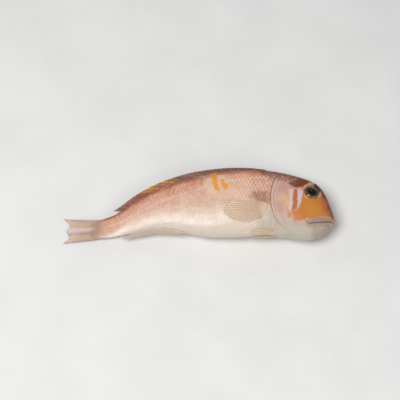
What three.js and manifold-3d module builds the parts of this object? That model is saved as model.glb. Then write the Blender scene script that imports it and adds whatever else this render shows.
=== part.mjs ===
// A red tilefish, whole and fresh, lying on its left side on a flat surface.
// The fish is drawn straight first, in fish coordinates: "along" runs back from the snout,
// "up" runs from the belly to the back, and "side" runs out to the right flank. The spine then
// carries that straight fish into the pose it lies in: head dipped, back arched, tail let down.
// Units are millimetres. In the part's frame +X is the head end, +Y the back, +Z the right flank.
import * as THREE from "three";
import { mergeVertices } from "three/addons/utils/BufferGeometryUtils.js";
import Module from "manifold-3d";

const wasm = await Module();
wasm.setup();
const { clamp, lerp, degToRad } = THREE.MathUtils;

// ---- Driving sizes ----
const STANDARD_LENGTH = 322; // snout to the root of the tail fin, along the spine
const BODY_DEPTH = 98; // back to belly at its deepest, behind the shoulder, without the fins
const BODY_WIDTH = 50; // flank to flank behind the gill covers
const FLANK_FLATTENING = 1.6; // how far the resting flank is pressed flat by the fish's weight
const CLEARANCE = 0.3; // gap between two pieces that meet

const EYE_DIAMETER = 20.5;
const EYE_THICKNESS = 12;
const EYE_SET_IN = 2.6; // the eyeball's middle lies this far under the skin

const FIN_THICKNESS = 1.5; // at a fin ray, where it leaves the body
const WEB_THICKNESS = 0.8; // of the web between two rays
const FIN_EDGE_SHARE = 0.55; // what is left of both thicknesses at the free edge
const ROOT_DEPTH = 3.2; // how deep a fin's root is set in the body
const FOLD_STAND = 0.8; // a folded fin's rays pass this far over the skin

const DORSAL_HEIGHT = 9.5; // folded down, as it lies on a dead fish
const ANAL_HEIGHT = 8.5;
const FOLD_ANGLE = degToRad(24); // between a folded ray and the line of the back or belly
const TAIL_FIN_LENGTH = 54;
const TAIL_FIN_ROOT = 21; // height of the tail fin where it leaves the body
const TAIL_FIN_SPREAD = 37; // height of the tail fin across its tips, as half closed
const PECTORAL_LENGTH = 66;
const PELVIC_LENGTH = 46;

const MOUTH_LENGTH = 31; // the cleft of the mouth, from the lips back
const MOUTH_GAP = 0.8;
const MOUTH_SLANT = degToRad(27); // how steeply it falls, going back
const GILL_SLIT_WIDTH = 0.9;
const GILL_SLIT_DEPTH = 4;

// ---- The outline of the body ----
// Each row is [share of the standard length, height as a share of the depth].
const BACK_LINE = [
  [0, -0.049], [0.012, 0.026], [0.037, 0.158], [0.062, 0.276], [0.087, 0.362], [0.118, 0.418],
  [0.161, 0.444], [0.233, 0.452], [0.326, 0.455], [0.435, 0.439], [0.559, 0.398], [0.699, 0.321],
  [0.839, 0.221], [0.932, 0.167], [1, 0.145],
];
const BELLY_LINE = [
  [0, -0.092], [0.008, -0.177], [0.016, -0.24], [0.03, -0.306], [0.05, -0.361], [0.078, -0.413],
  [0.109, -0.439], [0.149, -0.451], [0.233, -0.485], [0.326, -0.526], [0.435, -0.561],
  [0.534, -0.541], [0.621, -0.469], [0.699, -0.38], [0.839, -0.226], [0.932, -0.162],
  [1, -0.14],
];
// Half the width, as a share of the whole width.
const WIDTH_LINE = [
  [0, 0.09], [0.012, 0.185], [0.037, 0.285], [0.062, 0.345], [0.093, 0.4], [0.14, 0.455],
  [0.193, 0.488], [0.25, 0.5], [0.342, 0.495], [0.435, 0.472], [0.559, 0.41], [0.7, 0.3],
  [0.839, 0.185], [0.932, 0.115], [1, 0.08],
];
const SECTION_POWER = 0.86; // under 1, the flank is fuller than an ellipse

// ---- The set of the spine ----
// [share of the standard length, degrees that the spine climbs towards the back, going tailwards]
const SPINE_CLIMB = [
  [0, 15], [0.19, 15], [0.33, 6], [0.47, -1], [0.62, -6], [0.73, -13], [0.84, -25],
  [0.93, -17], [1, -6], [1.08, -1], [1.2, 0],
];
// [share of the standard length, millimetres under the left flank]: the tail hangs a little
// clear between the trunk and the fin tips, which come down to the surface again.
const FLANK_LIFT = [
  [0, 0], [0.47, 0], [0.65, 2], [0.8, 3.6], [0.95, 4.4], [1.03, 3.6], [1.19, 0.5],
];
const LEVEL_TO = 0.3; // the head and shoulders stay level up to this share of the length
const LIMP_FROM = 0.6; // from here the flank follows its own width down to the surface

// A smooth curve through [x, y] rows that never overshoots them, as a function of x.
function curveThrough(rows) {
  const slopes = rows.slice(1).map((row, i) => (row[1] - rows[i][1]) / (row[0] - rows[i][0]));
  const tangents = rows.map((_, i) => {
    if (i === 0) return slopes[0];
    if (i === rows.length - 1) return slopes[i - 1];
    const [before, after] = [slopes[i - 1], slopes[i]];
    return before * after <= 0 ? 0 : (2 * before * after) / (before + after);
  });
  return (x) => {
    const last = rows.length - 2;
    const found = rows.findIndex((row, i) => i > 0 && x <= row[0]) - 1;
    const i = found < 0 ? (x <= rows[0][0] ? 0 : last) : found;
    const span = rows[i + 1][0] - rows[i][0];
    const t = (x - rows[i][0]) / span;
    if (t < 0) return rows[0][1];
    if (t > 1) return rows[i + 1][1];
    const [p, q, m, n] = [rows[i][1], rows[i + 1][1], tangents[i] * span, tangents[i + 1] * span];
    return p + t * (m + t * (3 * (q - p) - 2 * m - n + t * (2 * (p - q) + m + n)));
  };
}

const overBody = (rows, size) => {
  const curve = curveThrough(rows);
  return (along) => curve(along / STANDARD_LENGTH) * size;
};
const backAt = overBody(BACK_LINE, BODY_DEPTH);
const bellyAt = overBody(BELLY_LINE, BODY_DEPTH);
const halfWidthAt = overBody(WIDTH_LINE, BODY_WIDTH);
const climbAt = overBody(SPINE_CLIMB, degToRad(1));
const liftAt = overBody(FLANK_LIFT, 1);

// The spine in plan, stepped out once, millimetre by millimetre, and read between its steps.
const SPINE_STEP = 1;
const SPINE_REACH = STANDARD_LENGTH + TAIL_FIN_LENGTH + 20;
const spine = [new THREE.Vector2()];
for (let along = 0; along < SPINE_REACH; along += SPINE_STEP) {
  const climb = climbAt(along + SPINE_STEP / 2);
  const step = new THREE.Vector2(-Math.cos(climb), Math.sin(climb)).multiplyScalar(SPINE_STEP);
  spine.push(spine.at(-1).clone().add(step));
}

// The height of the fish's middle plane over the surface it lies on.
function middleAt(along) {
  const onBody = Math.min(along, STANDARD_LENGTH);
  const trunk = BODY_WIDTH / 2 - FLANK_FLATTENING;
  const limp = halfWidthAt(onBody) - FLANK_FLATTENING + liftAt(along);
  const onFin = clamp((along - STANDARD_LENGTH) / TAIL_FIN_LENGTH, 0, 1);
  const slack = THREE.MathUtils.smoothstep(along / STANDARD_LENGTH, LEVEL_TO, LIMP_FROM);
  return lerp(lerp(trunk, limp, slack), FIN_THICKNESS / 2, onFin);
}

// Fish coordinates into the part's frame.
function pose(along, up, side) {
  const at = clamp(along / SPINE_STEP, 0, spine.length - 2);
  const whole = Math.floor(at);
  const foot = spine[whole].clone().lerp(spine[whole + 1], at - whole);
  const climb = climbAt(along);
  const before = Math.max(-along, 0); // past the snout the spine runs straight on
  foot.x += before * Math.cos(climb);
  foot.y -= before * Math.sin(climb);
  return new THREE.Vector3(
    foot.x + up * Math.sin(climb),
    foot.y + up * Math.cos(climb),
    middleAt(along) + side,
  );
}

// A point on the skin, raised by lift, in fish coordinates. The turn goes from -90 degrees at the
// belly, through 0 on the right flank, to 90 at the back.
function skin(along, turn, lift = 0) {
  const middle = (backAt(along) + bellyAt(along)) / 2;
  const height = (backAt(along) - bellyAt(along)) / 2;
  const width = halfWidthAt(along);
  const [sine, cosine] = [Math.sin(turn), Math.cos(turn)];
  const outUp = sine / height;
  const outSide = cosine / width;
  const norm = lift / Math.hypot(outUp, outSide);
  return [
    along,
    middle + height * sine + outUp * norm,
    width * Math.sign(cosine) * Math.abs(cosine) ** SECTION_POWER + outSide * norm,
  ];
}

// ---- Solids and joins ----
function solidOf(geometry) {
  const bare = geometry.clone();
  bare.deleteAttribute("normal");
  bare.deleteAttribute("uv");
  const merged = mergeVertices(bare, 1e-4);
  return new wasm.Manifold(
    new wasm.Mesh({
      numProp: 3,
      vertProperties: merged.attributes.position.array,
      triVerts: new Uint32Array(merged.index.array),
    }),
  );
}

// A solid from points and the three-cornered faces that close it, turned to face outwards.
function solidFrom(points, faces) {
  const geometry = new THREE.BufferGeometry().setFromPoints(points);
  const made = solidOf(geometry.setIndex(faces.flat()));
  return made.volume() > 0 ? made : solidOf(geometry.setIndex(faces.map(([a, b, c]) => [a, c, b]).flat()));
}

function geometryOf(solid) {
  const { vertProperties, triVerts, numProp } = solid.getMesh();
  const positions = new Float32Array((vertProperties.length / numProp) * 3);
  for (let i = 0; i < positions.length / 3; i++) {
    positions.set(vertProperties.subarray(i * numProp, i * numProp + 3), i * 3);
  }
  return new THREE.BufferGeometry()
    .setAttribute("position", new THREE.BufferAttribute(positions, 3))
    .setIndex(new THREE.BufferAttribute(triVerts, 1));
}

// A closed slab about a curved sheet: at(u, v) gives the sheet's point in fish coordinates,
// outward(u, v) the way through it, and thickness(u, v) how thick it is there. from and to are the
// lowest and highest u and v that it covers.
function slab({ at, outward, thickness, columns, rows, from = [0, 0], to = [1, 1] }) {
  const points = [];
  for (const face of [1, -1]) {
    for (let j = 0; j <= rows; j++) {
      for (let i = 0; i <= columns; i++) {
        const [u, v] = [lerp(from[0], to[0], i / columns), lerp(from[1], to[1], j / rows)];
        const [along, up, side] = at(u, v);
        const [x, y, z] = outward(u, v);
        const half = (face * thickness(u, v)) / 2;
        points.push(pose(along + x * half, up + y * half, side + z * half));
      }
    }
  }
  const width = columns + 1;
  const layer = width * (rows + 1);
  const faces = [];
  const quad = (a, b, c, d) => faces.push([a, b, c], [a, c, d]);
  for (let j = 0; j < rows; j++) {
    for (let i = 0; i < columns; i++) {
      const a = j * width + i;
      quad(a, a + 1, a + width + 1, a + width);
      quad(layer + a, layer + a + width, layer + a + width + 1, layer + a + 1);
    }
  }
  for (let i = 0; i < columns; i++) {
    const top = rows * width + i;
    quad(i, layer + i, layer + i + 1, i + 1);
    quad(top, top + 1, layer + top + 1, layer + top);
  }
  for (let j = 0; j < rows; j++) {
    const [left, right] = [j * width, j * width + columns];
    quad(left, left + width, layer + left + width, layer + left);
    quad(right, layer + right, layer + right + width, right + width);
  }
  return solidFrom(points, faces);
}

// ---- The body ----
const BODY_RINGS = 50;
const BODY_SIDES = 30;
const RING_CROWDING = 1.45; // over 1, the rings crowd towards the blunt head
const END_ROUNDNESS = 1.4; // how far the snout and the tail root swell past their last rings

function bodyBlank() {
  const points = [pose(-END_ROUNDNESS, (backAt(0) + bellyAt(0)) / 2, 0)];
  for (let ring = 0; ring <= BODY_RINGS; ring++) {
    const along = STANDARD_LENGTH * (ring / BODY_RINGS) ** RING_CROWDING;
    for (let i = 0; i < BODY_SIDES; i++) {
      points.push(pose(...skin(along, (i / BODY_SIDES) * Math.PI * 2)));
    }
  }
  const rootMiddle = (backAt(STANDARD_LENGTH) + bellyAt(STANDARD_LENGTH)) / 2;
  points.push(pose(STANDARD_LENGTH + END_ROUNDNESS, rootMiddle, 0));
  const faces = [];
  const end = points.length - 1;
  for (let i = 0; i < BODY_SIDES; i++) {
    const next = (i + 1) % BODY_SIDES;
    faces.push([0, 1 + i, 1 + next]);
    for (let ring = 0; ring < BODY_RINGS; ring++) {
      const [a, b] = [1 + ring * BODY_SIDES + i, 1 + ring * BODY_SIDES + next];
      faces.push([a, a + BODY_SIDES, b + BODY_SIDES], [a, b + BODY_SIDES, b]);
    }
    faces.push([end, end - BODY_SIDES + next, end - BODY_SIDES + i]);
  }
  return solidFrom(points, faces);
}

// ---- Fins ----
// A fin is a slab whose thickness swells at each ray and thins at each web. Its first rows are the
// root, set in the body. grow is the clearance that its pocket in the body adds all round.
const rayRelief = (rays, u) => 0.5 + 0.5 * Math.cos(2 * Math.PI * u * (rays - 1));
const finThickness = (rays, grow) => (u, v) => {
  const plain = lerp(WEB_THICKNESS, FIN_THICKNESS, rayRelief(rays, u));
  return (grow > 0 ? FIN_THICKNESS : plain * lerp(1, FIN_EDGE_SHARE, clamp(v, 0, 1))) + 2 * grow;
};

// The fins of the middle plane: the dorsal on the back and the anal on the belly, both folded down.
// Along the base the root goes straight in; over the skin each ray is swept tailwards.
const ROOT_SHARE = 0.2; // the part of v that the root takes
function foldedFin({ start, end, line, side, rays, height }) {
  const base = (end - start) * STANDARD_LENGTH;
  const at = (u, v) => {
    const foot = start * STANDARD_LENGTH + u * base;
    if (v <= ROOT_SHARE) {
      return [foot, line(foot) + side * lerp(-ROOT_DEPTH, FOLD_STAND, v / ROOT_SHARE), 0];
    }
    const out = (v - ROOT_SHARE) / (1 - ROOT_SHARE);
    const rise = height(clamp(u, 0, 1)) * out;
    const along = foot + rise / Math.tan(FOLD_ANGLE);
    return [along, line(Math.min(along, STANDARD_LENGTH)) + side * (FOLD_STAND + rise), 0];
  };
  const make = (grow) => {
    const edge = grow / base;
    const depth = (grow / ROOT_DEPTH) * ROOT_SHARE;
    return slab({
      at,
      outward: () => [0, 0, 1],
      thickness: finThickness(rays, grow),
      columns: (grow > 0 ? 1 : 2) * (rays - 1),
      rows: grow > 0 ? 1 : 5,
      from: [-edge, -depth],
      to: [1 + edge, grow > 0 ? ROOT_SHARE : 1],
    });
  };
  return { solid: make(0), pocket: make(CLEARANCE) };
}

const dorsal = foldedFin({
  start: 0.285,
  end: 0.885,
  line: backAt,
  side: 1,
  rays: 22,
  height: (u) => DORSAL_HEIGHT * lerp(0.5, 1, clamp((u - 0.02) / 0.4, 0, 1)) * lerp(1, 0.75, u ** 4),
});
const anal = foldedFin({
  start: 0.64,
  end: 0.89,
  line: bellyAt,
  side: -1,
  rays: 14,
  height: (u) => ANAL_HEIGHT * lerp(0.6, 1, clamp(u / 0.2, 0, 1)) * lerp(1, 0.8, u ** 4),
});

// The tail fin: half closed, with its upper and lower corners drawn out.
const TAIL_RAYS = 17;
const TAIL_ROOT_DEPTH = 10;
const TAIL_CORNER = 5; // how far the two corners reach past the middle of the edge
const TAIL_HOLLOW = 4; // how far the edge is hollowed between the middle and each corner
function tailFin() {
  const root = STANDARD_LENGTH - TAIL_ROOT_DEPTH;
  const middle = (backAt(STANDARD_LENGTH) + bellyAt(STANDARD_LENGTH)) / 2;
  const at = (u, v) => {
    const across = 2 * u - 1;
    const corner = TAIL_CORNER * Math.abs(across) ** 4;
    const hollow = TAIL_HOLLOW * Math.sin(Math.PI * Math.abs(across)) ** 2;
    const tip = STANDARD_LENGTH + TAIL_FIN_LENGTH - TAIL_CORNER + corner - hollow;
    const along = lerp(root, tip, v);
    const open = clamp((along - STANDARD_LENGTH) / TAIL_FIN_LENGTH, 0, 1);
    return [along, middle + (across * lerp(TAIL_FIN_ROOT, TAIL_FIN_SPREAD, open)) / 2, 0];
  };
  const make = (grow) =>
    slab({
      at,
      outward: () => [0, 0, 1],
      thickness: finThickness(TAIL_RAYS, grow),
      columns: (grow > 0 ? 1 : 2) * (TAIL_RAYS - 1),
      rows: grow > 0 ? 3 : 8,
      from: [-grow / TAIL_FIN_ROOT, -grow / TAIL_FIN_LENGTH],
      to: [1 + grow / TAIL_FIN_ROOT, grow > 0 ? 0.3 : 1],
    });
  return { solid: make(0), pocket: make(CLEARANCE) };
}

const PAIRED_ROWS = 7; // across a paired fin, from its root to its edge
const POCKET_LEAD = 2; // its pocket starts this far in front of its root
// The greater of two values, with the corner where they cross rounded over by about blend.
const softMax = (a, b, blend) => (a + b + Math.hypot(a - b, 2 * blend)) / 2;

// A paired fin lies along the skin. Its root slants out of the body, and its rays fan out
// tailwards and down. flank is 1 on the right and -1 on the left, where the surface holds it up.
function pairedFin({ flank, rays, foot, footTurn, length, fan, lift, girth }) {
  const at = (u, v) => {
    const reach = v < 0 ? v * PAIRED_ROWS * POCKET_LEAD : length(clamp(u, 0, 1)) * v;
    const bearing = lerp(fan[0], fan[1], u);
    const along = foot * STANDARD_LENGTH + u * footTurn.slant + reach * Math.cos(bearing);
    const turn = lerp(footTurn.from, footTurn.to, u) - (reach * Math.sin(bearing)) / girth;
    const emerged = Math.min(reach / (2.5 * ROOT_DEPTH), 1);
    const [x, up, side] = skin(along, turn, lerp(-ROOT_DEPTH, lift, emerged));
    const resting = FIN_THICKNESS / 2 + CLEARANCE - middleAt(along);
    return [x, up, softMax(side * flank, resting, CLEARANCE)];
  };
  const outward = (u, v) => {
    const near = [at(u, v), at(u + 0.01, v), at(u, v + 0.01)].map((p) => new THREE.Vector3(...p));
    const across = near[1].clone().sub(near[0]);
    return across.cross(near[2].clone().sub(near[0])).normalize().toArray();
  };
  const footLength = Math.abs(footTurn.from - footTurn.to) * girth;
  const make = (grow) =>
    slab({
      at,
      outward,
      thickness: finThickness(rays, grow),
      columns: (grow > 0 ? 1 : 2) * (rays - 1),
      rows: grow > 0 ? PAIRED_ROWS + 1 : PAIRED_ROWS,
      from: [(-1.5 * grow) / footLength, grow > 0 ? -1 / PAIRED_ROWS : 0],
      to: [1 + (1.5 * grow) / footLength, 1],
    });
  return { solid: make(0), pocket: make(2 * CLEARANCE) }; // curved faces need the wider pocket
}

// Behind each gill cover, low on the flank: long upper rays, short lower ones.
const pectoral = (flank) =>
  pairedFin({
    flank,
    rays: 15,
    foot: 0.28,
    footTurn: { from: degToRad(-14), to: degToRad(-38), slant: 3 },
    length: (u) => PECTORAL_LENGTH * (0.93 + 0.25 * u - 0.86 * u * u),
    fan: flank > 0 ? [degToRad(-6), degToRad(22)] : [degToRad(12), degToRad(38)],
    lift: FIN_THICKNESS / 2 + 0.9,
    girth: (BODY_DEPTH + BODY_WIDTH) / 3,
  });

// Under the shoulder, one each side of the keel, folded back along the belly.
const pelvic = (flank) =>
  pairedFin({
    flank,
    rays: 6,
    foot: 0.21,
    footTurn: { from: degToRad(-73), to: degToRad(-86), slant: 2 },
    length: (u) => PELVIC_LENGTH * (0.8 + 0.75 * u - 0.9 * u * u),
    fan: [degToRad(-7), degToRad(3)],
    lift: FIN_THICKNESS / 2 + 0.9,
    girth: BODY_WIDTH * 0.62,
  });

// ---- Eyes ----
// Each eyeball is a flattened ball, tipped to follow the slope of the cheek.
const EYE_ALONG = 0.117;
const EYE_TURN = degToRad(28.5);
const EYE_TIP_UP = degToRad(14);
const EYE_TIP_FORWARD = degToRad(9);
function eye(flank, grow = 0) {
  const mesh = new THREE.Mesh(new THREE.SphereGeometry(1, 28, 14));
  const [along, up, side] = skin(EYE_ALONG * STANDARD_LENGTH, EYE_TURN, -EYE_SET_IN);
  const climb = climbAt(along);
  mesh.position.copy(pose(along, up, side * flank));
  mesh.rotation.set(-flank * EYE_TIP_UP, flank * EYE_TIP_FORWARD, -climb);
  mesh.scale.set(EYE_DIAMETER / 2 + grow, EYE_DIAMETER / 2 + grow, EYE_THICKNESS / 2 + grow);
  return mesh;
}
function placedSolid(mesh) {
  mesh.updateMatrixWorld(true);
  return solidOf(mesh.geometry.clone().applyMatrix4(mesh.matrixWorld));
}

// ---- Slits in the head ----
// The cleft of the mouth: a thin cut that slants back and down from between the lips.
function mouthSlit() {
  const inFront = 3; // the cut starts clear of the lips
  const lips = backAt(0) - 2;
  return slab({
    at: (u, v) => {
      const back = u * (MOUTH_LENGTH + inFront);
      const up = lips - back * Math.sin(MOUTH_SLANT);
      return [back * Math.cos(MOUTH_SLANT) - inFront, up, (v - 0.5) * BODY_WIDTH];
    },
    outward: () => [Math.sin(MOUTH_SLANT), Math.cos(MOUTH_SLANT), 0],
    thickness: () => MOUTH_GAP,
    columns: 4,
    rows: 4,
  });
}

// The gill opening: a slit round the free edge of each gill cover, from the shoulder to the throat.
const GILL_REACH = 38; // from the middle of the arc back to the free edge
const GILL_RISE = 44; // from the middle of the arc up or down to where it would close
const GILL_CENTRE = 0.155; // share of the standard length
const GILL_SPAN = [degToRad(-58), degToRad(46)];
const GILL_OVERCUT = 3; // the cut starts this far outside the skin
function gillSlit(flank) {
  return slab({
    at: (u, v) => {
      const bearing = lerp(...GILL_SPAN, u);
      const along = GILL_CENTRE * STANDARD_LENGTH + GILL_REACH * Math.cos(bearing);
      const height = (backAt(along) - bellyAt(along)) / 2;
      const turn = Math.asin(clamp((GILL_RISE * Math.sin(bearing)) / height, -0.98, 0.98));
      const [x, up, side] = skin(along, turn, lerp(-GILL_SLIT_DEPTH, GILL_OVERCUT, v));
      return [x, up, side * flank];
    },
    outward: (u) => [Math.cos(lerp(...GILL_SPAN, u)), Math.sin(lerp(...GILL_SPAN, u)), 0],
    thickness: () => GILL_SLIT_WIDTH,
    columns: 16,
    rows: 3,
  });
}

// ---- Putting the fish together ----
// What lies below the surface is pressed away: the flank is left with a flat patch to rest on.
function surfaceBlock() {
  const block = new THREE.BoxGeometry(2 * SPINE_REACH, 2 * SPINE_REACH, BODY_WIDTH);
  return solidOf(block.translate(0, 0, -BODY_WIDTH / 2));
}

const fins = {
  dorsal_fin: dorsal,
  anal_fin: anal,
  tail_fin: tailFin(),
  pectoral_fin_right: pectoral(1),
  pectoral_fin_left: pectoral(-1),
  pelvic_fin_right: pelvic(1),
  pelvic_fin_left: pelvic(-1),
};

const cuts = [
  surfaceBlock(),
  mouthSlit(),
  gillSlit(1),
  gillSlit(-1),
  placedSolid(eye(1, CLEARANCE)),
  placedSolid(eye(-1, CLEARANCE)),
  ...Object.values(fins).map((fin) => fin.pocket),
];
const cutBody = cuts.reduce((body, cut) => body.subtract(cut), bodyBlank());
const body = cutBody.decompose().sort((a, b) => b.volume() - a.volume())[0];

const SKIN = new THREE.MeshStandardMaterial({ color: 0xd9a08a, roughness: 0.35, metalness: 0 });
const FIN = new THREE.MeshStandardMaterial({ color: 0xcf9a6a, roughness: 0.4, metalness: 0 });
const PALE_FIN = new THREE.MeshStandardMaterial({ color: 0xd8c9a8, roughness: 0.4, metalness: 0 });
const EYE = new THREE.MeshStandardMaterial({ color: 0x14161c, roughness: 0.08, metalness: 0 });
const FIN_MATERIALS = { dorsal_fin: FIN, anal_fin: FIN, tail_fin: FIN };

const fish = new THREE.Group();
function addPiece(name, geometry, material) {
  const mesh = new THREE.Mesh(geometry, material);
  mesh.name = name;
  fish.add(mesh);
  return mesh;
}
addPiece("body", geometryOf(body), SKIN);
for (const [name, fin] of Object.entries(fins)) {
  addPiece(name, geometryOf(fin.solid), FIN_MATERIALS[name] ?? PALE_FIN);
}
for (const [name, flank] of [["eye_right", 1], ["eye_left", -1]]) {
  const ball = eye(flank);
  ball.name = name;
  ball.material = EYE;
  fish.add(ball);
}

// The origin is on the surface, under the middle of the fish's own box.
const box = new THREE.Box3().setFromObject(fish, true);
const centre = box.getCenter(new THREE.Vector3());
fish.position.set(-centre.x, -centre.y, -box.min.z);

export default fish;
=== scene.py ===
import math

import bmesh
import bpy
import numpy as np
from mathutils import Euler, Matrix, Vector


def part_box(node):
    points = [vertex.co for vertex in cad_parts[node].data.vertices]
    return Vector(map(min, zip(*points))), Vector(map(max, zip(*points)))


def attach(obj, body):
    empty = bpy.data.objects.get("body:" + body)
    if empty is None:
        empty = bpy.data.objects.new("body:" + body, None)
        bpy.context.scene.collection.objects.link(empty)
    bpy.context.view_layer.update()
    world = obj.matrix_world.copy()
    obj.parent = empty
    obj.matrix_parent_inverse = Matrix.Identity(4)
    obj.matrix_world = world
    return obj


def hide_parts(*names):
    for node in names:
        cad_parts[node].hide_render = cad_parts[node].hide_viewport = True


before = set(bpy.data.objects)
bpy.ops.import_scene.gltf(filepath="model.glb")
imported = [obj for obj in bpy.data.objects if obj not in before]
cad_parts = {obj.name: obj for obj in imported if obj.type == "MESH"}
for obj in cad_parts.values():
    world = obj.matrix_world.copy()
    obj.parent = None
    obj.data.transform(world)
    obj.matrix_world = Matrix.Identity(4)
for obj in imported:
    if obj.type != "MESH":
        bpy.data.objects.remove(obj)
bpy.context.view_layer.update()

# ---- Studio ----
# A pale matt table top under a large soft light, with a weaker one at the right front and a weak
# one behind the fish. The camera looks down on the right flank from the belly side.
LOOK_DOWN = math.radians(63)
CAMERA_DISTANCE = 2.07
LENS_MM = 136
AIM = Vector((0.0028, 0.0158, 0))
FLOOR_SIDE = 6.0
FLOOR_TONES = (0.80, 0.80, 0.79, 1), (0.84, 0.84, 0.83, 1)
# Each light: name, place, size across, power, colour.
LIGHTS = [
    ("overhead", (-0.7, -0.5, 1.9), 1.3, 31, (1, 0.985, 0.965)),
    ("right_front", (1.5, -1.3, 1.2), 1.2, 11, (1, 1, 1)),
    ("back", (0.3, 1.9, 1.2), 0.8, 2.5, (1, 1, 1)),
]
ROOM_COLOUR = (0.93, 0.96, 1, 1)
ROOM_GLOW = 0.26

scene = bpy.context.scene
scene.view_settings.view_transform = "Standard"


def node(tree, kind, inputs=(), **settings):
    made = tree.nodes.new("ShaderNode" + kind)
    for key, value in settings.items():
        setattr(made, key, value)
    for key, value in dict(inputs).items():
        if isinstance(value, bpy.types.NodeSocket):
            tree.links.new(value, made.inputs[key])
        else:
            made.inputs[key].default_value = value
    return made


def new_material(name):
    material = bpy.data.materials.new(name)
    material.use_nodes = True
    tree = material.node_tree
    return material, tree, tree.nodes["Principled BSDF"]


def set_shader(tree, shader, inputs):
    for key, value in inputs.items():
        if isinstance(value, bpy.types.NodeSocket):
            tree.links.new(value, shader.inputs[key])
        else:
            shader.inputs[key].default_value = value


def noise(tree, scale, detail=3.0, roughness=0.55, vector=None):
    inputs = {"Scale": scale, "Detail": detail, "Roughness": roughness}
    inputs["Vector"] = vector or node(tree, "TexCoord").outputs["Object"]
    return node(tree, "TexNoise", inputs).outputs["Fac"]


def math_node(tree, operation, *values, clamp=False):
    return node(tree, "Math", enumerate(values), operation=operation, use_clamp=clamp).outputs[0]


def blend_colour(tree, share, low, high):
    return node(tree, "Mix", {0: share, 6: low, 7: high}, data_type="RGBA").outputs[2]


def spread(tree, value, low, high, to_low=0.0, to_high=1.0):
    inputs = {"From Min": low, "From Max": high, "To Min": to_low, "To Max": to_high}
    inputs["Value"] = value
    return node(tree, "MapRange", inputs, interpolation_type="SMOOTHSTEP").outputs[0]


def stage_floor():
    bm = bmesh.new()
    bmesh.ops.create_grid(bm, x_segments=1, y_segments=1, size=FLOOR_SIDE / 2)
    mesh = bpy.data.meshes.new("table_top")
    bm.to_mesh(mesh)
    floor = bpy.data.objects.new("table_top", mesh)
    scene.collection.objects.link(floor)
    material, tree, shader = new_material("matt_table")
    tone = spread(tree, noise(tree, 9.0), 0.35, 0.65)
    colour = blend_colour(tree, tone, *FLOOR_TONES)
    set_shader(tree, shader, {"Base Color": colour, "Roughness": 0.6})
    mesh.materials.append(material)


def area_light(name, place, size, power, colour):
    light = bpy.data.lights.new(name, "AREA")
    light.shape = "DISK"
    light.size = size
    light.energy = power
    light.color = colour
    lamp = bpy.data.objects.new(name, light)
    lamp.location = place
    lamp.rotation_euler = (-Vector(place)).to_track_quat("-Z", "Y").to_euler()
    scene.collection.objects.link(lamp)


stage_floor()
for light_row in LIGHTS:
    area_light(*light_row)
world = bpy.data.worlds.new("studio")
world.use_nodes = True
room = world.node_tree.nodes["Background"]
room.inputs["Color"].default_value = ROOM_COLOUR
room.inputs["Strength"].default_value = ROOM_GLOW
scene.world = world

camera_data = bpy.data.cameras.new("camera")
camera_data.lens = LENS_MM
camera_data.clip_end = 20
camera = bpy.data.objects.new("camera", camera_data)
look = Vector((0, math.cos(LOOK_DOWN), -math.sin(LOOK_DOWN)))
camera.location = AIM - look * CAMERA_DISTANCE
camera.rotation_euler = look.to_track_quat("-Z", "Y").to_euler()
scene.collection.objects.link(camera)
scene.camera = camera

# ---- Body ----
# Head, trunk and tail stem of the fish, in one skin of overlapping scales over firm flesh. The
# fish is drawn straight, in millimetres: "along" from the snout, "up" from belly to back, "side"
# out to the flanks. The spine then carries it into the pose in which it lies.
LENGTH = 322.0
DEPTH = 98.0
WIDTH = 50.0
FLATTENING = 1.6
FIN_MIDDLE = 0.75
TAIL_FIN_LENGTH = 54.0
SECTION_POWER = 0.86
BACK_LINE = [
    (0, -0.049), (0.012, 0.026), (0.037, 0.158), (0.062, 0.276), (0.087, 0.362), (0.118, 0.418),
    (0.161, 0.444), (0.233, 0.452), (0.326, 0.455), (0.435, 0.439), (0.559, 0.398),
    (0.699, 0.321), (0.839, 0.221), (0.932, 0.167), (1, 0.145),
]
BELLY_LINE = [
    (0, -0.092), (0.008, -0.177), (0.016, -0.24), (0.03, -0.306), (0.05, -0.361),
    (0.078, -0.413), (0.109, -0.439), (0.149, -0.451), (0.233, -0.485), (0.326, -0.526),
    (0.435, -0.561), (0.534, -0.541), (0.621, -0.469), (0.699, -0.38), (0.839, -0.226),
    (0.932, -0.162), (1, -0.14),
]
WIDTH_LINE = [
    (0, 0.09), (0.012, 0.185), (0.037, 0.285), (0.062, 0.345), (0.093, 0.4), (0.14, 0.455),
    (0.193, 0.488), (0.25, 0.5), (0.342, 0.495), (0.435, 0.472), (0.559, 0.41), (0.7, 0.3),
    (0.839, 0.185), (0.932, 0.115), (1, 0.08),
]
SPINE_CLIMB = [
    (0, 15), (0.19, 15), (0.33, 6), (0.47, -1), (0.62, -6), (0.73, -13), (0.84, -25),
    (0.93, -17), (1, -6), (1.08, -1), (1.2, 0),
]
FLANK_LIFT = [(0, 0), (0.47, 0), (0.65, 2), (0.8, 3.6), (0.95, 4.4), (1.03, 3.6), (1.19, 0.5)]
LEVEL_TO = 0.3
LIMP_FROM = 0.6
# The tail stem thins to a blade where it meets the rays of the tail fin.
BLADE_FROM, BLADE_TO = LENGTH - 34, LENGTH + 4
BLADE_THINNING = 0.78


def curve_through(rows):
    x, y = np.array(rows, float).T
    slopes = np.diff(y) / np.diff(x)
    tangents = np.concatenate([slopes[:1], np.zeros(len(x) - 2), slopes[-1:]])
    for i in range(1, len(x) - 1):
        before, after = slopes[i - 1], slopes[i]
        if before * after > 0:
            tangents[i] = 2 * before * after / (before + after)

    def read(at):
        at = np.clip(at, x[0], x[-1])
        i = np.clip(np.searchsorted(x, at) - 1, 0, len(x) - 2)
        span = x[i + 1] - x[i]
        t = (at - x[i]) / span
        p, q, m, n = y[i], y[i + 1], tangents[i] * span, tangents[i + 1] * span
        return p + t * (m + t * (3 * (q - p) - 2 * m - n + t * (2 * (p - q) + m + n)))

    return read


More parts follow.
